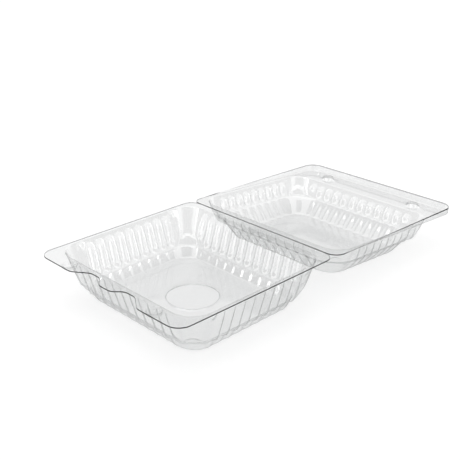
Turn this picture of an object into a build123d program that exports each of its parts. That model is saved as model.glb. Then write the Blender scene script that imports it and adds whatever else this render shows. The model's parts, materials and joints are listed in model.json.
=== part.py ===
from build123d import *
import os
from math import asin, atan2, cos, hypot, radians, sin, tan

# Clear hinged food pack: a deep tray and a shallower lid, formed side by side in one thin sheet and
# joined by the crease between them. It lies open on a table, with the lid tipped back on its far edge.
# Millimetres, +Z up. X runs along the hinge, +Y from the tray to the lid. The origin is on the table, under
# the middle of the open pack.

os.makedirs("parts", exist_ok=True)

# Sheet and hinge
sheet = 0.4  # wall of the formed sheet
closing_gap = 0.3  # between the two flanges when the pack is shut
crease_gap = 0.3  # between the two halves along the hinge

# Flange, the same on both halves apart from the latch side
pack_width = 200.0  # of the lid, along the hinge
side_flange = 5.0  # of the lid
hinge_flange = 9.0
latch_flange = 17.0  # of the tray
lid_overhang = 10.0  # of the lid's latch flange past the tray's
hinge_corner = 10.0
latch_corner = 14.0

# Wavy grip in the tray's latch edge: two finger notches with a tab between them
notch_depth = 11.4
notch_mouth = 47.5  # from the middle to where a notch leaves the edge
notch_outer = 31.5  # from the middle to a notch's outer foot
notch_inner = 17.5  # from the middle to a notch's inner foot
tab_half = 8.5  # half the tab between the notches
tab_drop = 2.5  # from the latch edge back to the tab's tip
wave_round = 9.0

# Rim along the sides and the latch edge of the lid, which closes over the tray's flange
rim_height = 7.6  # at the latch edge
rim_start = 14.0  # from the crease to where the rim begins to rise
rim_clearance = 0.4  # between the rim and the tray's flange when the pack is shut

# Hollow of each half: fluted walls down to a ledge, then a plain step down to the floor
tray_length = 167.0  # of the opening, from the hinge side to the latch side
lid_setback = 6.0  # of the lid's opening, which stops short of the tray's
opening_corner = 22.0
tray_depth = 48.0  # from the top of the flange to the table
lid_depth = 38.0
wall_draft = 18.0  # degrees
ledge_width = 2.5
tray_step = 11.0  # from the floor to the ledge
tray_step_draft = 24.0  # degrees
tray_step_corner = 22.0
lid_step = 18.0
lid_step_draft = 38.0  # degrees
lid_step_corner = 30.0

# Flutes pressed out of the four walls, with rounded heads
flute_pitch = 12.1
flute_width = 10.6
flute_depth = 2.2
flute_draft = 42.0  # degrees
flute_start = 5.0  # down the slope, from the flange to a flute's head
flute_foot = 1.0  # up the slope, from the ledge to a flute's foot
head_sides = 8  # of the polygon whose upper half is a flute's head

# Stacking lugs at both ends of the tray's side walls, under the flange
lug_width = 6.4
lug_height = 7.0
lug_depth = 1.4
lug_draft = 20.0  # degrees
lug_gap = 1.2  # between a lug and the last flute
lug_start = 1.5  # down the slope, from the flange to a lug

# Half-round stops that stand on the ledge in the corners of the hollow
stop_radius = 9.5
stop_sides = 12  # of the polygon whose upper half is a stop
stop_reach = 6.0
stop_margin = 6.0  # how far a stop's cutter passes the corner

# Snaps: buttons on the lid's latch flange press into pockets in the tray's
snap_spread = 120.0  # between the two snaps
pocket_radius = 7.2
pocket_depth = 4.2
snap_clearance = 0.4

# Round panel raised in the tray's floor
panel_radius = 26.0
panel_rise = 3.0
panel_shift = 3.0  # from the middle of the floor towards the hinge

# Sizes that follow from those above
lid_length = tray_length - lid_setback
edge = pack_width / 2
tray_edge = edge - sheet - rim_clearance
opening_width = pack_width - 2 * side_flange
hinge_reach = tray_length / 2 + hinge_flange  # from the middle of the tray's hollow to the crease
latch_reach = tray_length / 2 + latch_flange
lid_reach = latch_reach + lid_overhang
snap_reach = tray_length / 2 + latch_flange / 2
lid_shift = lid_setback / 2  # of the middle of the lid's hollow towards the crease
crease_height = tray_depth + closing_gap / 2
end_flutes = int((opening_width - 2 * opening_corner) / flute_pitch)  # on the hinge and latch walls
tray_flutes = int((tray_length - 2 * (opening_corner + lug_width)) / flute_pitch)  # on a side wall
lid_flutes = int((lid_length - 2 * opening_corner) / flute_pitch)
last_flute = ((tray_flutes - 1) * flute_pitch + flute_width) / 2
lug_offset = last_flute + lug_gap + lug_width / 2
wall_slope = tan(radians(wall_draft))
wall_stretch = 1 / cos(radians(wall_draft))  # a length along the slope over its height


def mouth_growth(grow, draft):
    """How much further a pressed shape reaches on the outer skin than on the inner one."""
    return grow * tan(radians(45 - draft / 2))


# The lid tips back until the far edge of its floor lies on the table
lid_inset = (lid_depth - sheet - lid_step) * wall_slope + ledge_width
lid_step_run = (lid_step + sheet) * tan(radians(lid_step_draft)) - sheet / cos(radians(lid_step_draft))
floor_reach = hinge_flange + lid_length - lid_inset - lid_step_run
floor_drop = closing_gap / 2 + lid_depth
tip_back = asin(crease_height / hypot(floor_reach, floor_drop)) - atan2(floor_drop, floor_reach)
open_reach = (hinge_reach + lid_reach) * cos(tip_back) + (rim_height - closing_gap / 2) * sin(tip_back)
crease_y = (latch_reach + hinge_reach - open_reach) / 2

# Each half is drawn upside down, as it lies on its mould: local Z is the depth below the flange, and local
# +Y runs from the hinge to the latch
lid_run = Vector(0, cos(tip_back), -sin(tip_back))
lid_down = Vector(0, -sin(tip_back), -cos(tip_back))
lid_middle = Vector(0, crease_y, crease_height) + lid_run * hinge_reach + lid_down * (closing_gap / 2)
tray_half = Plane(origin=(0, crease_y - hinge_reach, tray_depth), x_dir=(1, 0, 0), z_dir=(0, 0, -1))
lid_half = Plane(origin=lid_middle, x_dir=(-1, 0, 0), z_dir=lid_down)


def wall_planes(length, side_flutes, grow):
    """The four walls with their counts of flutes: local Y runs up to the flange, the normal outwards."""
    lean = radians(wall_draft)
    walls = []
    for x, y, distance, flutes in (
        (0, 1, length / 2, end_flutes),
        (0, -1, length / 2, end_flutes),
        (1, 0, opening_width / 2, side_flutes),
        (-1, 0, opening_width / 2, side_flutes),
    ):
        outward = Vector(x, y, 0)
        normal = outward * cos(lean) + Vector(0, 0, sin(lean))
        upward = outward * sin(lean) - Vector(0, 0, cos(lean))
        middle = outward * distance + normal * grow
        walls.append((Plane(origin=middle, x_dir=upward.cross(normal), z_dir=normal), flutes))
    return walls


def formed_hollow(opening_length, side_flutes, depth, step, step_draft, step_corner, lugs, grow):
    """The hollow of one half, with its skin moved outwards by grow: 0 is the inside of the sheet."""
    ledge = depth - sheet - step
    width = opening_width - 2 * ledge * wall_slope
    length = opening_length - 2 * ledge * wall_slope
    corner = opening_corner - ledge * wall_slope
    spread = grow * wall_stretch
    toe = grow / cos(radians(step_draft)) - ledge_width
    flute_growth = mouth_growth(grow, flute_draft)
    lug_growth = mouth_growth(grow, lug_draft)
    mouth = flute_width + 2 * flute_growth
    shoulder = flute_start + flute_width / 2
    straight = ledge * wall_stretch - flute_foot + flute_growth - shoulder
    with BuildPart() as hollow:
        # drafted walls from the flange down to the ledge
        with BuildSketch():
            RectangleRounded(opening_width + 2 * spread, opening_length + 2 * spread, opening_corner + spread)
        extrude(amount=ledge + grow, taper=wall_draft)
        # step from the ledge down to the floor
        with BuildSketch(Plane.XY.offset(ledge)):
            RectangleRounded(width + 2 * toe, length + 2 * toe, step_corner + toe)
        extrude(amount=step + grow, taper=step_draft)
        # flutes on all four walls
        for wall, flutes in wall_planes(opening_length, side_flutes, grow):
            with BuildSketch(wall):
                with Locations((0, -shoulder)):
                    with GridLocations(flute_pitch, 0, flutes, 1):
                        RegularPolygon(mouth / 2, head_sides, major_radius=False, rotation=180 / head_sides)
                        Rectangle(mouth, straight, align=(Align.CENTER, Align.MAX))
            extrude(amount=flute_depth, taper=flute_draft)
        # lugs at both ends of the side walls
        if lugs:
            for wall, flutes in wall_planes(opening_length, side_flutes, grow)[2:]:
                with BuildSketch(wall):
                    with Locations((0, -lug_start - lug_height / 2)):
                        with GridLocations(2 * lug_offset, 0, 2, 1):
                            Rectangle(lug_width + 2 * lug_growth, lug_height + 2 * lug_growth)
                extrude(amount=lug_depth, taper=lug_draft)
        # stops in the corners
        for x in (-1, 1):
            for y in (-1, 1):
                outward = Vector(x, y, 0).normalized()
                centre = Vector(x * (width / 2 - corner), y * (length / 2 - corner), ledge + grow)
                front = centre + outward * (corner - stop_reach + grow)
                upright = Vector(0, 0, -1)
                with BuildSketch(Plane(origin=front, x_dir=upright.cross(outward), z_dir=outward)):
                    RegularPolygon(stop_radius - grow, stop_sides)
                    Rectangle(
                        2 * stop_radius, stop_radius, align=(Align.CENTER, Align.MAX), mode=Mode.SUBTRACT
                    )
                extrude(amount=stop_reach + stop_margin, mode=Mode.SUBTRACT)
    return hollow.part


def tray_hollow(grow):
    """The tray's hollow."""
    step = (tray_step, tray_step_draft, tray_step_corner)
    return formed_hollow(tray_length, tray_flutes, tray_depth, *step, True, grow)


def lid_hollow(grow):
    """The lid's hollow, which starts as far from the crease as the tray's."""
    step = (lid_step, lid_step_draft, lid_step_corner)
    hollow = formed_hollow(lid_length, lid_flutes, lid_depth, *step, False, grow)
    return Pos(0, -lid_shift, 0) * hollow


def flange_sheet(outline, radii):
    """A flat flange as large as its outline, with the hollow not yet cut out of it."""
    with BuildPart() as flange:
        with BuildSketch():
            with BuildLine():
                FilletPolyline(*outline, radius=radii, close=True)
            make_face()
        extrude(amount=sheet)
    return flange.part


def lid_rim(outline, radii):
    """The rim around the lid's flange, cut off along a slope from the crease up to the latch edge."""
    start = rim_start - hinge_reach
    slope = [(start, sheet), (start, 0), (lid_reach, -rim_height), (lid_reach, sheet)]
    with BuildPart() as rim:
        with BuildSketch(Plane.XY.offset(sheet)):
            with BuildLine():
                FilletPolyline(*outline, radius=radii, close=True)
            make_face()
            offset(amount=-sheet, mode=Mode.SUBTRACT)
        extrude(amount=-rim_height - sheet)
        with BuildSketch(Plane.YZ):
            Polygon(*slope, align=None)
        extrude(amount=pack_width, both=True, mode=Mode.INTERSECT)
    return rim.part


def snap_pockets(grow):
    """The hollow of the two pockets in the tray's latch flange."""
    with BuildPart() as pockets:
        with BuildSketch():
            with Locations((0, snap_reach)):
                with GridLocations(snap_spread, 0, 2, 1):
                    Circle(pocket_radius + grow)
        extrude(amount=pocket_depth + grow)
    return pockets.part


def snap_buttons(shrink):
    """The two buttons on the lid's latch flange, with their skin moved inwards by shrink."""
    height = pocket_depth - snap_clearance - shrink
    with BuildPart() as buttons:
        with BuildSketch(Plane.XY.offset(-height)):
            with Locations((0, snap_reach)):
                with GridLocations(snap_spread, 0, 2, 1):
                    Circle(pocket_radius - snap_clearance - shrink)
        extrude(amount=height + shrink)
    return buttons.part


def floor_panel(grow):
    """The round panel that stands up from the tray's floor."""
    with BuildPart() as panel:
        with BuildSketch(Plane.XY.offset(tray_depth - sheet + grow)):
            with Locations((0, -panel_shift)):
                Circle(panel_radius - grow)
        extrude(amount=-panel_rise)
    return panel.part


wave = [
    (notch_mouth, latch_reach),
    (notch_outer, latch_reach - notch_depth),
    (notch_inner, latch_reach - notch_depth),
    (tab_half, latch_reach - tab_drop),
]
wave_back = [(-x, y) for x, y in reversed(wave)]
hinge_edge = -hinge_reach + crease_gap / 2
tray_hinge = [(-tray_edge, hinge_edge), (tray_edge, hinge_edge)]
lid_hinge = [(-edge, hinge_edge), (edge, hinge_edge)]
tray_outline = [*tray_hinge, (tray_edge, latch_reach), *wave, *wave_back, (-tray_edge, latch_reach)]
tray_radii = [hinge_corner, hinge_corner, latch_corner, *[wave_round] * (2 * len(wave)), latch_corner]
lid_outline = [*lid_hinge, (edge, lid_reach), (-edge, lid_reach)]
lid_radii = [hinge_corner, hinge_corner, latch_corner, latch_corner]

tray_skins = [flange_sheet(tray_outline, tray_radii), tray_hollow(sheet), snap_pockets(sheet)]
tray_hollows = [tray_hollow(0), snap_pockets(0)]
tray_panels = [floor_panel(0), floor_panel(sheet)]
lid_skins = [
    flange_sheet(lid_outline, lid_radii),
    lid_rim(lid_outline, lid_radii),
    lid_hollow(sheet),
    snap_buttons(0),
]
lid_hollows = [lid_hollow(0), snap_buttons(sheet)]

with BuildPart() as base_tray:
    add([tray_half.from_local_coords(skin) for skin in tray_skins])
    add([tray_half.from_local_coords(hollow) for hollow in tray_hollows], mode=Mode.SUBTRACT)
    add(tray_half.from_local_coords(tray_panels[0]))
    add(tray_half.from_local_coords(tray_panels[1]), mode=Mode.SUBTRACT)

with BuildPart() as lid:
    add([lid_half.from_local_coords(skin) for skin in lid_skins])
    add([lid_half.from_local_coords(hollow) for hollow in lid_hollows], mode=Mode.SUBTRACT)

base_tray.part.label = "base_tray"
lid.part.label = "lid"
export_step(base_tray.part, "parts/base_tray.step")
export_step(lid.part, "parts/lid.step")
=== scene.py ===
import json
from math import cos, hypot, pi, radians, sin, sqrt, tan
from types import SimpleNamespace

import bmesh
import bpy
from bpy.props import FloatProperty, FloatVectorProperty, PointerProperty
from mathutils import Matrix, Vector


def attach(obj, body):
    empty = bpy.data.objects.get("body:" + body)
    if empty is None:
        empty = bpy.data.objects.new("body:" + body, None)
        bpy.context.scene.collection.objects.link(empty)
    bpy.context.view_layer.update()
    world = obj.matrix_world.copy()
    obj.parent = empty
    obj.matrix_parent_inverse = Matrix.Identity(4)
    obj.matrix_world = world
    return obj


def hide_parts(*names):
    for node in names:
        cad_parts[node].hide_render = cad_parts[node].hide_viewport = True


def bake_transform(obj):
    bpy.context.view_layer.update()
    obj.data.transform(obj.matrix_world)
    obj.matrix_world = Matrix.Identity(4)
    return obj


bl_info = {
    "name": "Clear Hinged Food Pack",
    "version": (1, 0, 0),
    "blender": (4, 5, 0),
    "location": "3D View > Sidebar > Pack",
    "description": "Dresses a formed clear food pack: tray, lid and the crease between them",
    "category": "Object",
}

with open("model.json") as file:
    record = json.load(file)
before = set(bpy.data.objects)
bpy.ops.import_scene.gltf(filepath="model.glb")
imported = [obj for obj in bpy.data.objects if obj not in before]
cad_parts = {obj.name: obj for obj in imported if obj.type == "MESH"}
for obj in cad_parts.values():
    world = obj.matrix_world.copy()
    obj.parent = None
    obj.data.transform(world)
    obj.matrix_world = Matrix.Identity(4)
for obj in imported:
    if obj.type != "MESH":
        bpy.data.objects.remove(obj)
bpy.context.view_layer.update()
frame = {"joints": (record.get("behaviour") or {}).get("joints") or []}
HINGE = frame["joints"][0]

MM = 0.001  # the sheet is shaped in millimetres and placed in metres

# how finely the sheet is divided, with lengths in millimetres
OUTLINE_SEGMENTS = 8
OPENING_SEGMENTS = 14
SNAP_SEGMENTS = 32
PANEL_SEGMENTS = 72
FLANGE_RING = 0.8  # width of the ring inside the flange's outline
OPENING_RING = 1.1  # width of the ring around the opening
LEDGE_RING = 0.6
FLOOR_RING = 1.6
HEAD_ROWS = (1.1, 2.6, 4.2, 5.8, 7.6, 9.8)  # rings below the flange, around the flutes' heads
FOOT_ROWS = (9.8, 8.4, 6.6, 4.8, 3.2, 1.8, 0.0)  # rings above the ledge, around the flutes' feet
ROW_ROOM = 0.6  # least distance from the last head row to the first foot row
ROW_GAP = 7.0  # distance of the rings between heads and feet
FLUTE_CUTS = (-0.76, -0.64, -0.34, 0.0, 0.34, 0.64, 0.76, 1.0)  # across a flute, in halves of the pitch
END_ROOM = 3.0  # a plain end of a wall that is longer than this gets cuts of its own
END_CUTS = 3
STEP_PARTS = (0.12, 0.24, 0.28, 0.24, 0.12)  # rings down the step, in shares of its height
BROAD_FACE = 12  # a face with more corners than this is made triangles
CREASE_CUTS = 9

# small shapes of the sheet, with lengths in millimetres
TURN_START = 0.8  # the flange begins to turn down this far from the opening
TURN_WIDTH = 0.5
TURN_DROP = 0.25
POCKET_TURN = (0.35, 0.12)  # first ring of a pocket: inwards, and its share of the height
BUTTON_TURN = (0.25, 0.12)  # first ring of a button
SNAP_PROFILE = ((0.2, 0.3), (0.25, 0.36), (0.45, 0.16), (0.8, 0.06))  # the other rings of both
PANEL_EDGE = 0.6  # the bead around the panel starts this far outside its radius
PANEL_PROFILE = ((0.4, 0.5), (0.35, 0.8), (0.35, 0.2), (0.35, -0.3), (0.4, -0.2), (1.5, 0.0))
RIM_PARTS = (0.15, 0.5)  # lower rings of the rim, in shares of its height
RIM_RUN = 4.0  # the band along the rim's edge gets its full height over this run
HEAD_DEPTH = 0.9  # depth of a flute at its head, as a share
FOOT_GAIN = 0.5  # what a flute's depth gains down to its foot, as a share
TRAY_FLUTE_POWER = 6  # a higher power makes a squarer flute
LID_FLUTE_POWER = 4
RIB_FADE = 0.3  # share of the step over which a rib rises and ends
FLOOR_PART = 0.99  # below this share of the step lies the floor, which stays level
LUG_SPREAD = 0.4  # a lug's slope reaches this far past its side
LUG_SLOPE = 1.2
STOP_EDGE = 0.8  # width of the rounded edge around a stop
CREASE_SHARE = 0.9  # thickness of the crease, as a share of the sheet's

# slack when points are told apart, in millimetres
CUT_SLACK = 1e-5
POINT_SLACK = 1e-3
WALL_SLACK = 0.05

# slots of the faces: the outside of the sheet takes the slot two places on, and the lips and the rim's top
# band carry the cut edge's painted dark line, painted shade, on one of their skins
OUTSIDE = 2
TRAY_LIP = 1
LID_RIM = 1
LID_LIP = 4

# how the clear sheet answers to the angle it is seen at: its darkening at a slant is painted shade
PAINTED_SHADE_POWER = 7.0
GLOSS_POWER = 5.0

# studio, in metres and degrees
FLOOR_HALF = 12.0
FLOOR_DROP = 0.0002  # keeps the floor just under the pack
FLOOR_LIFT = 0.14  # makes the floor white to the eye and leaves its shadow
WORLD_LIGHT = 0.8
WORLD_WHITE = 1.0
SUN_STRENGTH = 0.4
SUN_ANGLE = 50
SUN_LEAN = -9
DARK_REACH = 2.6
LIGHT_REACH = 2.5
BOARDS = (  # name, azimuth, spread, low, high and level of light
    ("card_left", -131, 70, -0.2, 3.5, 0.05),
    ("card_front", -46, 80, -0.2, 5.0, 0.05),
    ("card_right", 40, 60, -0.2, 2.8, 0.05),
    ("strip_left", -107, 12, 0.0, 2.0, 5.0),
    ("strip_right", 18, 12, 0.0, 0.5, 8.0),
    ("strip_front", -64, 70, 0.1, 0.5, 2.5),
    ("strip_high", -82, 25, 2.3, 3.5, 6.0),
)
SOFT_FROM = 0.5  # a board fades from its side, in shares of its width from the middle
SOFT_TO = 0.2
CAMERA_LENS = 63.87
CAMERA_SENSOR = 36.0
CAMERA_PLACE = (0.51825, -0.55177, 0.37209)
CAMERA_TARGET = (-0.01203, -0.03284, 0.04841)
CLEAR_BOUNCES = 48  # sheets that a ray may pass


def length(name, description, millimetres):
    """A length that a user may change."""
    return FloatProperty(
        name=name, description=description, default=millimetres * MM, unit="LENGTH", precision=5
    )


def angle(name, description, degrees):
    """An angle that a user may change."""
    return FloatProperty(name=name, description=description, default=radians(degrees), unit="ROTATION")


def share(name, description, default):
    """A number from 0 to 1 that a user may change."""
    return FloatProperty(
        name=name, description=description, default=default, min=0.0, max=1.0, subtype="FACTOR"
    )


def colour(name, description, default):
    """A colour that a user may change."""
    return FloatVectorProperty(
        name=name, description=description, default=default, size=4, min=0.0, max=1.0, subtype="COLOR"
    )


class PackSizes(bpy.types.PropertyGroup):
    """Sizes of the formed sheet. They follow the solids, apart from small relief."""

    sheet: length("Sheet", "Thickness of the formed sheet", 0.4)
    width: length("Width", "Width of the lid along the hinge", 200.0)
    rim_clearance: length("Rim clearance", "Room between the lid's rim and the tray's flange", 0.4)
    side_flange: length("Side flange", "Flange beside the lid's opening", 5.0)
    hinge_flange: length("Hinge flange", "Flange between the crease and the opening", 9.0)
    latch_flange: length("Latch flange", "Flange between the opening and the tray's latch edge", 17.0)
    lid_overhang: length("Lid overhang", "How far the lid's latch flange passes the tray's", 10.0)
    hinge_corner: length("Hinge corner", "Corner radius of the flange at the hinge", 12.0)
    latch_corner: length("Latch corner", "Corner radius of the flange at the latch edge", 14.0)
    crease_gap: length("Crease gap", "Gap between the halves along the hinge", 0.3)
    closing_gap: length("Closing gap", "Gap between the flanges when the pack is shut", 0.3)
    notch_depth: length("Notch depth", "Depth of a finger notch in the tray's latch edge", 11.4)
    notch_mouth: length("Notch mouth", "From the middle to where a notch leaves the edge", 47.5)
    notch_outer: length("Notch outer foot", "From the middle to a notch's outer foot", 31.5)
    notch_inner: length("Notch inner foot", "From the middle to a notch's inner foot", 17.5)
    tab_half: length("Half tab", "Half the width of the tab between the notches", 8.5)
    tab_drop: length("Tab drop", "From the latch edge back to the tab's tip", 2.5)
    wave_round: length("Wave radius", "Rounding of the wavy edge", 9.0)
    rim_height: length("Rim height", "Height of the lid's rim at the latch edge", 7.6)
    rim_start: length("Rim start", "From the crease to where the rim begins to rise", 14.0)
    tray_length: length("Tray opening", "Length of the tray's opening, hinge to latch", 167.0)
    lid_setback: length("Lid setback", "How much shorter the lid's opening is", 6.0)
    opening_corner: length("Opening corner", "Corner radius of both openings", 22.0)
    tray_depth: length("Tray depth", "From the top of the flange to the table", 48.0)
    lid_depth: length("Lid depth", "From the flange to the outside of the lid's floor", 38.0)
    wall_draft: angle("Wall draft", "Slope of the fluted walls", 18.0)
    ledge_width: length("Ledge", "Width of the ledge under the flutes", 2.5)
    tray_step: length("Tray step", "From the tray's floor up to its ledge", 11.0)
    tray_step_draft: angle("Tray step draft", "Slope of the tray's step", 24.0)
    tray_step_corner: length("Tray step corner", "Corner radius at the top of the tray's step", 22.0)
    lid_step: length("Lid step", "From the lid's floor up to its ledge", 18.0)
    lid_step_draft: angle("Lid step draft", "Slope of the lid's step", 38.0)
    lid_step_corner: length("Lid step corner", "Corner radius at the top of the lid's step", 30.0)
    flute_pitch: length("Flute pitch", "Distance from flute to flute", 12.1)
    flute_width: length("Flute width", "Width of a flute at its mouth", 9.2)
    flute_depth: length("Flute depth", "How far a flute is pressed out of the wall", 2.2)
    flute_start: length("Flute start", "From the flange down the slope to a flute's head", 5.5)
    flute_foot: length("Flute foot", "From the ledge up the slope to a flute's foot", 0.6)
    short_foot: length("Short foot", "How much higher the outermost flutes end", 5.6)
    rib_depth: length("Rib depth", "How far the ribs of the lid's step are pressed out", 1.6)
    knob_radius: length("Knob radius", "Radius of the knob in a flute's foot", 2.6)
    knob_depth: length("Knob depth", "How far the knob is pressed out of its flute", 0.8)
    lug_width: length("Lug width", "Width of a stacking lug", 6.4)
    lug_height: length("Lug height", "Height of a stacking lug", 7.0)
    lug_depth: length("Lug depth", "How far a lug is pressed out of the wall", 1.4)
    lug_gap: length("Lug gap", "From the last flute to a lug", 1.2)
    lug_start: length("Lug start", "From the flange down the slope to a lug", 1.5)
    stop_radius: length("Stop radius", "Radius of the half-round stops in the corners", 9.5)
    stop_lean: angle("Stop lean", "How far the front of a stop leans back", 35.0)
    stop_reach: length("Stop reach", "How far a stop stands out of its corner", 6.0)
    snap_spread: length("Snap spread", "Distance between the two snaps", 120.0)
    pocket_radius: length("Pocket radius", "Radius of a snap pocket", 7.2)
    pocket_depth: length("Pocket depth", "Depth of a snap pocket", 4.2)
    snap_clearance: length("Snap clearance", "Room around a button in its pocket", 0.4)
    panel_radius: length("Panel radius", "Radius of the round panel in the tray's floor", 26.0)
    panel_rise: length("Panel rise", "Height of the round panel", 1.2)
    panel_shift: length("Panel shift", "How far the panel sits towards the hinge", 3.0)
    # the band carries the cut edge's painted dark line, painted shade
    edge_band: length("Edge band", "Height of the dark line along the cut edge", 1.15)
    crease_width: length("Crease width", "Width of the strip that joins the halves", 1.4)


class PackLook(bpy.types.PropertyGroup):
    """Tints and gloss of the sheet, with painted shade at a slant and along the cut edge, and colour of the
    floor.
    """

    clear_tint: colour("Clear tint", "Light that passes one skin head on", (0.948, 0.95, 0.95, 1.0))
    # painted shade: the sheet at a slant is darkened to stand in for the dark lines that refraction gives
    painted_slant_shade: colour("Slant tint", "Light that passes one skin at a slant", (0.2, 0.205, 0.21, 1.0))
    # painted shade: the cut edge's dark line, dark where it faces the eye and grey from within
    painted_edge_shade: colour("Edge tint", "Light that passes a cut edge", (0.03, 0.03, 0.032, 1.0))
    painted_far_edge_shade: colour("Far edge tint", "Light that passes an edge from within", (0.5, 0.5, 0.505, 1.0))
    gloss: share("Gloss", "Reflection of one skin of the sheet head on", 0.08)
    slant_gloss: share("Slant gloss", "Reflection of one skin of the sheet at a slant", 0.5)
    roughness: share("Roughness", "Softness of the reflections", 0.06)
    floor: colour("Floor", "Colour of the floor", (0.95, 0.95, 0.95, 1.0))


def in_millimetres(group):
    """The sizes of a property group as plain numbers, with lengths in millimetres."""
    values = {}
    for name in group.__annotations__:
        unit = group.bl_rna.properties[name].unit
        values[name] = getattr(group, name) / (MM if unit == "LENGTH" else 1)
    return SimpleNamespace(**values)


def ease(value):
    """A smooth step from 0 to 1."""
    value = min(max(value, 0.0), 1.0)
    return value * value * (3 - 2 * value)


def sink(bm, face, inwards, down):
    """One more ring around a flat face, which shrinks by inwards and drops by down."""
    bmesh.ops.inset_region(
        bm, faces=[face], thickness=inwards, depth=-down, use_boundary=True, use_even_offset=True
    )


def free_edges(bm, old):
    """Free edges of the faces that were made after the old ones."""
    return [e for e in bm.edges if e.is_boundary and e.link_faces[0] not in old]


def lay_outline(bm, corners, ring):
    """The flange's rounded outline with a narrow ring inside it. Returns the ring's inner edges."""
    points = [Vector((x, y, 0)) for x, y, _ in corners]
    verts = [bm.verts.new(point) for point in points]
    bm.faces.new(verts)
    for i, (vert, (_, _, radius)) in enumerate(zip(verts, corners)):
        before = points[i] - points[i - 1]
        after = points[(i + 1) % len(points)] - points[i]
        bmesh.ops.bevel(
            bm,
            geom=[vert],
            offset=radius * tan(before.angle(after) / 2),
            offset_type="OFFSET",
            segments=OUTLINE_SEGMENTS,
            profile=0.5,
            affect="VERTICES",
            material=-1,
        )
    face = max(bm.faces, key=lambda f: len(f.verts))
    sink(bm, face, ring, 0)
    inner = list(face.edges)
    bmesh.ops.delete(bm, geom=[face], context="FACES_ONLY")
    return inner


def lay_snap(bm, x, y, radius, height):
    """A round snap that rises by height, or sinks where height is negative. Returns its outer edges."""
    old = set(bm.faces)
    made = bmesh.ops.create_circle(
        bm, cap_ends=True, radius=radius, segments=SNAP_SEGMENTS, matrix=Matrix.Translation((x, y, 0))
    )
    face = made["verts"][0].link_faces[0]
    turn = POCKET_TURN if height < 0 else BUTTON_TURN
    for inwards, part in (turn, *SNAP_PROFILE):
        sink(bm, face, inwards, -height * part)
    return free_edges(bm, old)


def cut_columns(bm, kept, normal, places):
    """Cuts every face but the kept ones along parallel upright planes."""
    faces = [f for f in bm.faces if f not in kept]
    geom = faces + list({e for f in faces for e in f.edges}) + list({v for f in faces for v in f.verts})
    for place in places:
        geom = bmesh.ops.bisect_plane(
            bm, geom=geom, dist=CUT_SLACK, plane_co=Vector(normal) * place, plane_no=normal
        )["geom"]


def widen_corners(face, half_width, half_length, middle, radius):
    """Rounds the corners of a face with a larger radius."""
    for vert in face.verts:
        x, y = vert.co.x, vert.co.y - middle
        dx = abs(x) - (half_width - radius)
        dy = abs(y) - (half_length - radius)
        if dx > 0 and dy > 0:
            scale = radius / hypot(dx, dy)
            vert.co.x = (half_width - radius + dx * scale) * (1 if x > 0 else -1)
            vert.co.y = (half_length - radius + dy * scale) * (1 if y > 0 else -1) + middle


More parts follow.
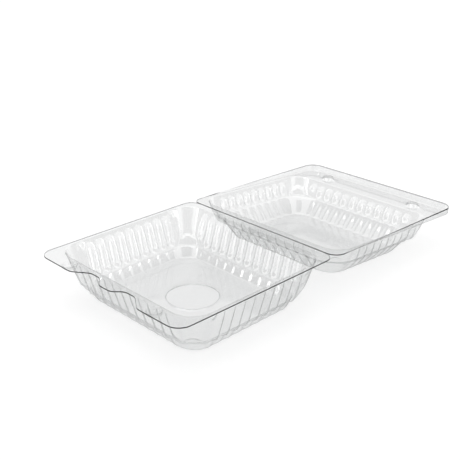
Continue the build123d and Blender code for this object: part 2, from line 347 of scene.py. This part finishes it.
class Half:
    """One half of the pack in its own frame: X along the hinge, Y to the latch, Z up from the flange."""

    def __init__(self, sizes, lid):
        self.sizes = s = sizes
        self.is_lid = lid
        self.length = s.tray_length - (s.lid_setback if lid else 0)
        self.middle = -s.lid_setback / 2 if lid else 0.0
        self.depth = s.lid_depth if lid else s.tray_depth
        self.step = s.lid_step if lid else s.tray_step
        self.step_draft = s.lid_step_draft if lid else s.tray_step_draft
        self.step_corner = s.lid_step_corner if lid else s.tray_step_corner
        self.flute_power = LID_FLUTE_POWER if lid else TRAY_FLUTE_POWER
        self.half_width = s.width / 2 - s.side_flange
        self.half_length = self.length / 2
        self.slope = tan(s.wall_draft)
        self.ledge = self.depth - s.sheet - self.step
        self.hinge_reach = s.tray_length / 2 + s.hinge_flange
        self.latch_reach = s.tray_length / 2 + s.latch_flange
        straight = s.tray_length - 2 * s.opening_corner - 2 * s.lug_width
        self.side_flutes = int(straight / s.flute_pitch)
        if lid:
            self.side_flutes = int((self.length - 2 * s.opening_corner) / s.flute_pitch)
        self.end_flutes = int((2 * self.half_width - 2 * s.opening_corner) / s.flute_pitch)

    def outline(self):
        """Corners of the flange's outline with their radii."""
        s = self.sizes
        back = -self.hinge_reach + s.crease_gap / 2
        if self.is_lid:
            edge = s.width / 2 - s.sheet
            front = self.latch_reach + s.lid_overhang - s.sheet
            wave = []
        else:
            edge = s.width / 2 - s.sheet - s.rim_clearance
            front = self.latch_reach
            wave = [
                (s.notch_mouth, front),
                (s.notch_outer, front - s.notch_depth),
                (s.notch_inner, front - s.notch_depth),
                (s.tab_half, front - s.tab_drop),
            ]
        right = [(x, y, s.wave_round) for x, y in wave]
        left = [(-x, y, s.wave_round) for x, y in reversed(wave)]
        return [
            (-edge, back, s.hinge_corner),
            (edge, back, s.hinge_corner),
            (edge, front, s.latch_corner),
            *right,
            *left,
            (-edge, front, s.latch_corner),
        ]

    def rows(self):
        """Depths of the rings down the fluted wall, below its rounded top."""
        feet = [self.ledge - up for up in FOOT_ROWS]
        heads = [row for row in HEAD_ROWS if row < feet[0] - ROW_ROOM]
        gap = feet[0] - heads[-1]
        count = int(gap / ROW_GAP)
        between = [heads[-1] + gap * (i + 1) / (count + 1) for i in range(count)]
        return heads + between + feet

    def form(self, bm):
        """Walls, ledge, step and floor, pressed ring by ring. Returns the outer edges and the floor."""
        s = self.sizes
        old = set(bm.faces)
        made = bmesh.ops.create_grid(
            bm,
            x_segments=1,
            y_segments=1,
            size=1.0,
            matrix=Matrix.Translation((0, self.middle, 0))
            @ Matrix.Diagonal((self.half_width + OPENING_RING, self.half_length + OPENING_RING, 1, 1)),
        )
        bmesh.ops.bevel(
            bm,
            geom=made["verts"],
            offset=s.opening_corner + OPENING_RING,
            offset_type="OFFSET",
            segments=OPENING_SEGMENTS,
            profile=0.5,
            affect="VERTICES",
            material=-1,
        )
        face = max((f for f in bm.faces if f not in old), key=lambda f: len(f.verts))
        # the flange's edge turns down into the wall
        sink(bm, face, OPENING_RING - TURN_START, 0)
        sink(bm, face, TURN_WIDTH, TURN_DROP)
        inset, last = TURN_WIDTH - TURN_START, TURN_DROP
        for row in self.rows():
            sink(bm, face, row * self.slope - inset, row - last)
            inset, last = row * self.slope, row
        # upright columns, closest together at the sides of each flute
        kept = old | {face}
        cut_columns(bm, kept, (1, 0, 0), self.columns(self.end_flutes)[1:-1])
        places = self.columns(self.side_flutes)
        beside = self.half_length - s.opening_corner - places[-1]
        if beside > END_ROOM:
            ends = [places[-1] + beside * (i + 1) / (END_CUTS + 1) for i in range(END_CUTS)]
            places += ends + [-place for place in ends]
        cut_columns(bm, kept, (0, 1, 0), [place + self.middle for place in places])
        outer = free_edges(bm, old)
        # ledge, with rounder corners on its inner side
        sink(bm, face, LEDGE_RING, 0)
        sink(bm, face, s.ledge_width - LEDGE_RING, 0)
        inset = self.ledge * self.slope + s.ledge_width
        half_width, half_length = self.half_width - inset, self.half_length - inset
        widen_corners(face, half_width, half_length, self.middle, self.step_corner)
        # step down to the floor
        for part in STEP_PARTS:
            sink(bm, face, part * self.step * tan(self.step_draft), part * self.step)
        sink(bm, face, FLOOR_RING, 0)
        return outer, face

    def columns(self, count):
        """Places of the upright cuts along a wall, from its first ridge to its last."""
        s = self.sizes
        half = s.flute_pitch / 2
        places = [-count * half]
        for number in range(count):
            middle = (number - (count - 1) / 2) * s.flute_pitch
            places += [middle + half * part for part in FLUTE_CUTS]
        return places

    def wall_at(self, x, y, inset):
        """The way out of the straight wall at a point, the place along it and its number of flutes."""
        if abs(abs(y) - (self.half_length - inset)) < WALL_SLACK:
            return Vector((0, 1 if y > 0 else -1, 0)), x, self.end_flutes
        if abs(abs(x) - (self.half_width - inset)) < WALL_SLACK:
            return Vector((1 if x > 0 else -1, 0, 0)), y, self.side_flutes
        return None, 0.0, 0

    def press(self, vert):
        """Presses one point of the wall into its flute, lug or stop, or one of the step into its rib."""
        depth = -vert.co.z
        if depth > self.ledge + POINT_SLACK:
            self.rib(vert, depth - self.ledge)
        elif depth > 0:
            self.groove(vert, depth)
            self.stop(vert, depth)

    def groove(self, vert, depth):
        """Presses one point of a straight wall into its flute or lug."""
        s = self.sizes
        x, y = vert.co.x, vert.co.y - self.middle
        wall, along, count = self.wall_at(x, y, depth * self.slope)
        if wall is None:
            return
        straight = (self.half_width if wall.y else self.half_length) - s.opening_corner
        if abs(along) > straight + POINT_SLACK:
            return
        lean = s.wall_draft
        down = depth / cos(lean)
        outward = wall * cos(lean) - Vector((0, 0, sin(lean)))
        place = along / s.flute_pitch + (count - 1) / 2
        number = min(max(round(place), 0), count - 1)
        across = (place - number) * s.flute_pitch
        foot = self.ledge / cos(lean) - s.flute_foot
        if wall.y and number in (0, count - 1):
            foot -= s.short_foot
        move = self.flute(across, down, s.flute_start, foot)
        if not self.is_lid and wall.x:
            move += self.lug(abs(along), down)
        vert.co += outward * move

    def rib(self, vert, below):
        """Presses one point of the step into the rib under its flute, less deep in the lower step."""
        s = self.sizes
        x, y = vert.co.x, vert.co.y - self.middle
        lean = self.step_draft
        inset = self.ledge * self.slope + s.ledge_width + below * tan(lean)
        wall, along, count = self.wall_at(x, y, inset)
        if wall is None or abs(along) >= count * s.flute_pitch / 2:
            return
        place = along / s.flute_pitch + (count - 1) / 2
        wave = cos(pi * (place - round(place))) ** 2
        part = below / self.step
        depth = s.rib_depth * self.step / s.lid_step * wave * ease(part / RIB_FADE)
        vert.co += wall * depth * cos(lean)
        if part < FLOOR_PART:
            vert.co.z -= depth * sin(lean) * ease((1 - part) / RIB_FADE)

    def flute(self, across, down, head, foot):
        """Depth of a flute at a point of its wall: a groove with round ends and a knob in its foot."""
        s = self.sizes
        half = s.flute_width / 2
        beyond = max(head + half - down, down - (foot - half), 0.0)
        reach = hypot(across, beyond) / half
        if reach >= 1:
            return 0.0
        deepen = HEAD_DEPTH + FOOT_GAIN * min(max((down - head) / (foot - head), 0.0), 1.0)
        from_knob = hypot(across, down - (foot - s.knob_radius)) / s.knob_radius
        groove = s.flute_depth * deepen * (1 - reach**self.flute_power)
        return groove + s.knob_depth * ease(1 - from_knob)

    def lug(self, along, down):
        """Depth of a stacking lug at a point of the tray's side wall."""
        s = self.sizes
        last = ((self.side_flutes - 1) * s.flute_pitch + s.flute_width) / 2
        middle = last + s.lug_gap + s.lug_width / 2
        side = (s.lug_width / 2 + LUG_SPREAD - abs(along - middle)) / LUG_SLOPE
        level = (s.lug_height / 2 + LUG_SPREAD - abs(down - s.lug_start - s.lug_height / 2)) / LUG_SLOPE
        return s.lug_depth * ease(side) * ease(level)

    def stop(self, vert, depth):
        """Pushes a point of a corner in to the flat front of its half-round stop, which leans back."""
        s = self.sizes
        x, y = vert.co.x, vert.co.y - self.middle
        sign = Vector((1 if x > 0 else -1, 1 if y > 0 else -1, 0))
        corner = Vector((self.half_width - s.opening_corner, self.half_length - s.opening_corner, 0))
        from_centre = Vector((abs(x), abs(y), 0)) - corner
        out = (from_centre.x + from_centre.y) / sqrt(2)
        aside = (from_centre.x - from_centre.y) / sqrt(2)
        up = self.ledge - depth
        foot = s.opening_corner - self.ledge * self.slope - s.stop_reach
        front = foot + up * tan(s.stop_lean)
        reach = hypot(aside, up)
        if out > front and reach < s.stop_radius:
            push = (out - front) * ease((s.stop_radius - reach) / STOP_EDGE) / sqrt(2)
            vert.co.x -= sign.x * push
            vert.co.y -= sign.y * push

    def lip(self, bm, edges, painted_line_slot):
        """A cut edge, turned down a little and given the slot of its painted dark line, which is painted
        shade.
        """
        made = bmesh.ops.extrude_edge_only(bm, edges=edges)["geom"]
        for vert in [v for v in made if isinstance(v, bmesh.types.BMVert)]:
            vert.co.z -= self.sizes.edge_band
        for face in [f for f in made if isinstance(f, bmesh.types.BMFace)]:
            face.material_index = painted_line_slot

    def rim(self, bm, edges):
        """The lid's rim, which rises from the flange's edge on its way to the latch."""
        s = self.sizes
        start = s.rim_start - self.hinge_reach
        front = self.latch_reach + s.lid_overhang
        rising = [e for e in edges if min(v.co.y for v in e.verts) > start - POINT_SLACK]
        self.lip(bm, [e for e in edges if e not in rising], LID_LIP)
        top = len(RIM_PARTS) + 1
        for row in range(top + 1):
            made = bmesh.ops.extrude_edge_only(bm, edges=rising)["geom"]
            rising = []
            for vert in [v for v in made if isinstance(v, bmesh.types.BMVert)]:
                least = s.edge_band * ease((vert.co.y - start) / RIM_RUN)
                height = max(s.rim_height * (vert.co.y - start) / (front - start), least)
                levels = [part * height for part in RIM_PARTS] + [height - least, height]
                vert.co.z = levels[row]
                rising += [e for e in vert.link_edges if e.is_boundary and e not in rising]
            # the rim's top band takes the slot whose outside carries the cut edge's painted dark line,
            # painted shade
            if row == top:
                for face in [f for f in made if isinstance(f, bmesh.types.BMFace)]:
                    face.material_index = LID_RIM

    def panel(self, bm, face):
        """The round panel in the tray's floor, inside a bead. Returns the edges between it and the step."""
        s = self.sizes
        old = set(bm.faces)
        level = face.verts[0].co.z
        made = bmesh.ops.create_circle(
            bm,
            cap_ends=True,
            radius=s.panel_radius + PANEL_EDGE,
            segments=PANEL_SEGMENTS,
            matrix=Matrix.Translation((0, -s.panel_shift, level)),
        )
        disc = made["verts"][0].link_faces[0]
        for inwards, part in PANEL_PROFILE:
            sink(bm, disc, inwards, -part * s.panel_rise)
        edges = free_edges(bm, old) + list(face.edges)
        bmesh.ops.delete(bm, geom=[face], context="FACES_ONLY")
        return edges

    def shell(self):
        """The whole half as one open skin, the inside of the sheet."""
        s = self.sizes
        bm = bmesh.new()
        fill = lay_outline(bm, self.outline(), FLANGE_RING)
        rim_edges = [e for e in bm.edges if e.is_boundary and e not in set(fill)]
        start = s.rim_start - self.hinge_reach
        if self.is_lid:
            for edge in list(rim_edges):
                a, b = sorted(edge.verts, key=lambda v: v.co.y)
                if a.co.y < start < b.co.y:
                    made, _ = bmesh.utils.edge_split(edge, a, (start - a.co.y) / (b.co.y - a.co.y))
                    rim_edges.append(made)
        outer, floor = self.form(bm)
        fill += outer
        radius = s.pocket_radius - s.snap_clearance if self.is_lid else s.pocket_radius
        height = s.pocket_depth - s.snap_clearance if self.is_lid else -s.pocket_depth
        snap_y = s.tray_length / 2 + s.latch_flange / 2
        for side in (-1, 1):
            fill += lay_snap(bm, side * s.snap_spread / 2, snap_y, radius, height)
        bmesh.ops.triangle_fill(bm, use_beauty=True, use_dissolve=False, edges=fill, normal=(0, 0, 1))
        if not self.is_lid:
            edges = self.panel(bm, floor)
            bmesh.ops.triangle_fill(bm, use_beauty=True, use_dissolve=False, edges=edges, normal=(0, 0, 1))
        for vert in bm.verts:
            self.press(vert)
        if self.is_lid:
            self.rim(bm, rim_edges)
        else:
            back = s.crease_gap - self.hinge_reach
            self.lip(bm, [e for e in rim_edges if max(v.co.y for v in e.verts) > back], TRAY_LIP)
        broad = [f for f in bm.faces if len(f.verts) > BROAD_FACE]
        bmesh.ops.triangulate(bm, faces=broad, ngon_method="BEAUTY")
        bmesh.ops.remove_doubles(bm, verts=bm.verts, dist=POINT_SLACK)
        bmesh.ops.recalc_face_normals(bm, faces=bm.faces)
        if sum(f.normal.z * f.calc_area() for f in bm.faces) < 0:
            bmesh.ops.reverse_faces(bm, faces=bm.faces)
        return bm


def placing(sizes, lid):
    """The matrix that puts a half, shaped in millimetres, in its place in the part."""
    crease = Vector(HINGE["pos_m"]) / MM
    reach = sizes.tray_length / 2 + sizes.hinge_flange
    if lid:
        tip = radians(HINGE["range_deg"][1] - 180)
        turn = Matrix.Rotation(-tip, 4, "X")
        move = Matrix.Translation((0, reach, -sizes.closing_gap / 2))
        place = Matrix.Translation(crease) @ turn @ move
    else:
        turn = Matrix.Rotation(pi, 4, "Z")
        place = Matrix.Translation((0, crease.y - reach, sizes.tray_depth)) @ turn
    return Matrix.Scale(MM, 4) @ place


def new_material(name):
    """An empty node material with its output."""
    material = bpy.data.materials.new(name)
    material.use_nodes = True
    material.node_tree.nodes.clear()
    output = material.node_tree.nodes.new("ShaderNodeOutputMaterial")
    return material, material.node_tree.nodes, material.node_tree.links, output


def raised(nodes, links, value, power):
    """A value raised to a power."""
    node = nodes.new("ShaderNodeMath")
    node.operation = "POWER"
    node.inputs[1].default_value = power
    links.new(value, node.inputs[0])
    return node.outputs[0]


def clear_material(look):
    """Clear sheet: light passes head on, is dimmed at a slant by painted shade that stands in for the dark
    lines refraction gives, and the surface mirrors its surroundings.
    """
    material, nodes, links, output = new_material("clear_sheet_with_painted_shade")
    facing = nodes.new("ShaderNodeLayerWeight")
    facing.inputs["Blend"].default_value = 0.5
    # painted shade: the tint turns to the slant tint as the sheet is seen more edge on
    tint_and_painted_shade = nodes.new("ShaderNodeMix")
    tint_and_painted_shade.data_type = "RGBA"
    tint_and_painted_shade.inputs["A"].default_value = look.clear_tint
    tint_and_painted_shade.inputs["B"].default_value = look.painted_slant_shade
    links.new(raised(nodes, links, facing.outputs["Facing"], PAINTED_SHADE_POWER), tint_and_painted_shade.inputs["Factor"])
    through = nodes.new("ShaderNodeBsdfTransparent")
    links.new(tint_and_painted_shade.outputs["Result"], through.inputs["Color"])
    mirror = nodes.new("ShaderNodeBsdfGlossy")
    mirror.inputs["Roughness"].default_value = look.roughness
    mirror.inputs["Color"].default_value = (1, 1, 1, 1)
    gloss = nodes.new("ShaderNodeMapRange")
    gloss.inputs["To Min"].default_value = look.gloss
    gloss.inputs["To Max"].default_value = look.slant_gloss
    links.new(raised(nodes, links, facing.outputs["Facing"], GLOSS_POWER), gloss.inputs["Value"])
    mix = nodes.new("ShaderNodeMixShader")
    links.new(gloss.outputs["Result"], mix.inputs["Fac"])
    links.new(through.outputs[0], mix.inputs[1])
    links.new(mirror.outputs[0], mix.inputs[2])
    links.new(mix.outputs[0], output.inputs["Surface"])
    return material


def painted_edge_material(look):
    """Cut edge of the sheet with a painted dark line, painted shade: dark where it faces the eye, grey from
    within the sheet.
    """
    material, nodes, links, output = new_material("cut_edge_painted_shade")
    side = nodes.new("ShaderNodeNewGeometry")
    # painted shade of the cut edge, picked by the side that faces the eye
    dark = nodes.new("ShaderNodeBsdfTransparent")
    dark.inputs["Color"].default_value = look.painted_edge_shade
    clear = nodes.new("ShaderNodeBsdfTransparent")
    clear.inputs["Color"].default_value = look.painted_far_edge_shade
    mix = nodes.new("ShaderNodeMixShader")
    links.new(side.outputs["Backfacing"], mix.inputs["Fac"])
    links.new(dark.outputs[0], mix.inputs[1])
    links.new(clear.outputs[0], mix.inputs[2])
    links.new(mix.outputs[0], output.inputs["Surface"])
    return material


def finish_piece(name, bm, materials):
    """Turns a bmesh into a smooth object with its materials."""
    mesh = bpy.data.meshes.new(name)
    bm.to_mesh(mesh)
    bm.free()
    for material in materials:
        mesh.materials.append(material)
    mesh.shade_smooth()
    piece = bpy.data.objects.new(name, mesh)
    bpy.context.scene.collection.objects.link(piece)
    return piece


def material_named(name, maker, look):
    """The material if it is there already, and a new one if not."""
    return bpy.data.materials.get(name) or maker(look)


def form_half(context, name, lid):
    """Builds one half as a smooth sheet with its thickness, riding on its body."""
    sizes = in_millimetres(context.scene.pack_sizes)
    look = context.scene.pack_look
    bm = Half(sizes, lid).shell()
    bmesh.ops.transform(bm, matrix=placing(sizes, lid), verts=bm.verts)
    sheet = material_named("clear_sheet_with_painted_shade", clear_material, look)
    edge = material_named("cut_edge_painted_shade", painted_edge_material, look)
    # slots that take the cut edge's painted dark line, painted shade, and the clear sheet for the rest
    dark = (LID_RIM + OUTSIDE, LID_LIP) if lid else (TRAY_LIP,)
    last = (LID_LIP if lid else TRAY_LIP) + OUTSIDE
    slot_materials = [edge if slot in dark else sheet for slot in range(last + 1)]
    piece = finish_piece(name + "_sheet", bm, slot_materials)
    smooth = piece.modifiers.new("smooth", "SUBSURF")
    smooth.levels = smooth.render_levels = 1
    wall = piece.modifiers.new("wall", "SOLIDIFY")
    wall.thickness = context.scene.pack_sizes.sheet
    wall.offset = -1
    wall.material_offset = OUTSIDE
    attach(piece, name)
    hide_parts(name)
    return piece


class PACK_OT_tray(bpy.types.Operator):
    """Form the base tray with its fluted walls and wavy latch edge"""

    bl_idname = "pack.tray"
    bl_label = "Base tray"

    def execute(self, context):
        form_half(context, "base_tray", False)
        return {"FINISHED"}


class PACK_OT_lid(bpy.types.Operator):
    """Form the lid with its rim and snap buttons"""

    bl_idname = "pack.lid"
    bl_label = "Lid"

    def execute(self, context):
        form_half(context, "lid", True)
        return {"FINISHED"}


class PACK_OT_crease(bpy.types.Operator):
    """Join the two halves by the thin strip of the crease"""

    bl_idname = "pack.crease"
    bl_label = "Hinge crease"

    def execute(self, context):
        sizes = context.scene.pack_sizes
        crease = Vector(HINGE["pos_m"])
        bm = bmesh.new()
        run = sizes.width - 2 * sizes.hinge_corner
        drop = sizes.closing_gap / 2 + sizes.sheet * 1.5
        place = Matrix.Translation(crease - Vector((0, 0, drop)))
        made = bmesh.ops.create_cube(bm, size=1.0)
        section = (run, sizes.crease_width, sizes.sheet * CREASE_SHARE)
        bmesh.ops.scale(bm, vec=section, verts=made["verts"])
        across = [e for e in bm.edges if abs(e.verts[0].co.y - e.verts[1].co.y) > sizes.crease_width / 2]
        bmesh.ops.subdivide_edges(bm, edges=across, cuts=CREASE_CUTS, use_grid_fill=True)
        bmesh.ops.transform(bm, matrix=place, verts=bm.verts)
        sheet = material_named("clear_sheet_with_painted_shade", clear_material, context.scene.pack_look)
        piece = finish_piece("hinge_crease", bm, [sheet])
        for polygon in piece.data.polygons:
            polygon.use_smooth = False
        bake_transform(piece)
        return {"FINISHED"}


class PACK_OT_studio(bpy.types.Operator):
    """Set the pale floor, the soft light, the boards around the pack and the camera"""

    bl_idname = "pack.studio"
    bl_label = "Studio"

    def execute(self, context):
        look = context.scene.pack_look
        self.floor(look)
        self.world(context)
        self.lights(context)
        self.camera(context)
        context.scene.view_settings.view_transform = "Standard"
        context.scene.cycles.transparent_max_bounces = CLEAR_BOUNCES
        return {"FINISHED"}

    def seen(self, nodes, links):
        """1 for rays from the camera and for those mirrored or passed on by the pack."""
        path = nodes.new("ShaderNodeLightPath")
        total = path.outputs["Is Camera Ray"]
        for output in ("Is Glossy Ray", "Is Transmission Ray"):
            either = nodes.new("ShaderNodeMath")
            either.operation = "MAXIMUM"
            links.new(total, either.inputs[0])
            links.new(path.outputs[output], either.inputs[1])
            total = either.outputs[0]
        return total

    def floor(self, look):
        """A matt pale floor that looks white and keeps the pack's shadow."""
        bm = bmesh.new()
        bmesh.ops.create_grid(bm, x_segments=1, y_segments=1, size=FLOOR_HALF)
        material, nodes, links, output = new_material("pale_floor")
        matt = nodes.new("ShaderNodeBsdfDiffuse")
        matt.inputs["Color"].default_value = look.floor
        glow = nodes.new("ShaderNodeEmission")
        lift = nodes.new("ShaderNodeMath")
        lift.operation = "MULTIPLY"
        lift.inputs[1].default_value = 1.0 - look.floor[0] + FLOOR_LIFT
        links.new(self.seen(nodes, links), lift.inputs[0])
        links.new(lift.outputs[0], glow.inputs["Strength"])
        both = nodes.new("ShaderNodeAddShader")
        links.new(matt.outputs[0], both.inputs[0])
        links.new(glow.outputs[0], both.inputs[1])
        links.new(both.outputs[0], output.inputs["Surface"])
        floor = finish_piece("floor", bm, [material])
        floor.location.z = -FLOOR_DROP

    def world(self, context):
        """An even dome of light that looks white."""
        world = bpy.data.worlds.new("studio")
        context.scene.world = world
        world.use_nodes = True
        nodes, links = world.node_tree.nodes, world.node_tree.links
        nodes.clear()
        output = nodes.new("ShaderNodeOutputWorld")
        back = nodes.new("ShaderNodeBackground")
        back.inputs["Color"].default_value = (1, 1, 1, 1)
        level = nodes.new("ShaderNodeMapRange")
        level.inputs["To Min"].default_value = WORLD_LIGHT
        level.inputs["To Max"].default_value = WORLD_WHITE
        links.new(self.seen(nodes, links), level.inputs["Value"])
        links.new(level.outputs["Result"], back.inputs["Strength"])
        links.new(back.outputs[0], output.inputs["Surface"])

    def lights(self, context):
        """A broad soft key from above, and the boards around the pack."""
        sun = bpy.data.lights.new("soft_key", "SUN")
        sun.energy = SUN_STRENGTH
        sun.angle = radians(SUN_ANGLE)
        key = bpy.data.objects.new("soft_key", sun)
        key.rotation_euler = (0, radians(SUN_LEAN), 0)
        context.scene.collection.objects.link(key)
        for name, azimuth, spread, low, high, level in BOARDS:
            self.board(name, radians(azimuth), radians(spread), low, high, level)

    def board_material(self, name, level):
        """A glow at one level, which fades towards the board's two sides."""
        material, nodes, links, output = new_material(name)
        glow = nodes.new("ShaderNodeEmission")
        glow.inputs["Strength"].default_value = level
        spot = nodes.new("ShaderNodeUVMap")
        across = nodes.new("ShaderNodeVectorMath")
        across.operation = "MULTIPLY"
        across.inputs[1].default_value = (1, 0, 0)
        links.new(spot.outputs[0], across.inputs[0])
        from_middle = nodes.new("ShaderNodeVectorMath")
        from_middle.operation = "DISTANCE"
        from_middle.inputs[1].default_value = (0.5, 0, 0)
        links.new(across.outputs["Vector"], from_middle.inputs[0])
        soft = nodes.new("ShaderNodeMapRange")
        soft.interpolation_type = "SMOOTHSTEP"
        soft.inputs["From Min"].default_value = SOFT_FROM
        soft.inputs["From Max"].default_value = SOFT_TO
        links.new(from_middle.outputs["Value"], soft.inputs["Value"])
        open_air = nodes.new("ShaderNodeBsdfTransparent")
        mix = nodes.new("ShaderNodeMixShader")
        links.new(soft.outputs["Result"], mix.inputs["Fac"])
        links.new(open_air.outputs[0], mix.inputs[1])
        links.new(glow.outputs[0], mix.inputs[2])
        links.new(mix.outputs[0], output.inputs["Surface"])
        return material

    def board(self, name, azimuth, spread, low, high, level):
        """An upright board with soft sides beside the pack that shows only in its reflections."""
        reach = LIGHT_REACH if level > 1 else DARK_REACH
        bm = bmesh.new()
        bm.loops.layers.uv.new("UVMap")
        bmesh.ops.create_grid(bm, x_segments=1, y_segments=1, size=0.5, calc_uvs=True)
        bmesh.ops.scale(bm, vec=(2 * reach * tan(spread / 2), high - low, 1), verts=bm.verts)
        stand = Matrix.Rotation(azimuth + pi / 2, 4, "Z") @ Matrix.Rotation(pi / 2, 4, "X")
        place = Matrix.Translation((reach * cos(azimuth), reach * sin(azimuth), (low + high) / 2))
        bmesh.ops.transform(bm, matrix=place @ stand, verts=bm.verts)
        board = finish_piece(name, bm, [self.board_material(name, level)])
        board.visible_camera = False
        board.visible_diffuse = False
        board.visible_transmission = False
        board.visible_shadow = False

    def camera(self, context):
        """The camera that was fitted to the photograph."""
        data = bpy.data.cameras.new("photo_view")
        data.lens = CAMERA_LENS
        data.sensor_width = CAMERA_SENSOR
        camera = bpy.data.objects.new("photo_view", data)
        camera.location = CAMERA_PLACE
        line = Vector(CAMERA_TARGET) - camera.location
        camera.rotation_euler = line.to_track_quat("-Z", "Y").to_euler()
        context.scene.collection.objects.link(camera)
        context.scene.camera = camera


class PACK_PT_panel(bpy.types.Panel):
    """The steps that dress the pack"""

    bl_idname = "PACK_PT_panel"
    bl_label = "Food Pack"
    bl_space_type = "VIEW_3D"
    bl_region_type = "UI"
    bl_category = "Pack"

    def draw(self, context):
        for step in STEPS:
            self.layout.operator(step.bl_idname)


STEPS = (PACK_OT_tray, PACK_OT_lid, PACK_OT_crease, PACK_OT_studio)
CLASSES = (PackSizes, PackLook, *STEPS, PACK_PT_panel)


def register():
    """Adds the classes and the pack's settings."""
    for cls in CLASSES:
        bpy.utils.register_class(cls)
    bpy.types.Scene.pack_sizes = PointerProperty(type=PackSizes)
    bpy.types.Scene.pack_look = PointerProperty(type=PackLook)


def unregister():
    """Takes the settings and the classes out again."""
    del bpy.types.Scene.pack_look
    del bpy.types.Scene.pack_sizes
    for cls in reversed(CLASSES):
        bpy.utils.unregister_class(cls)


def main():
    """Dresses the pack."""
    register()
    bpy.ops.pack.tray()
    bpy.ops.pack.lid()
    bpy.ops.pack.crease()
    bpy.ops.pack.studio()


if __name__ == "__main__":
    main()
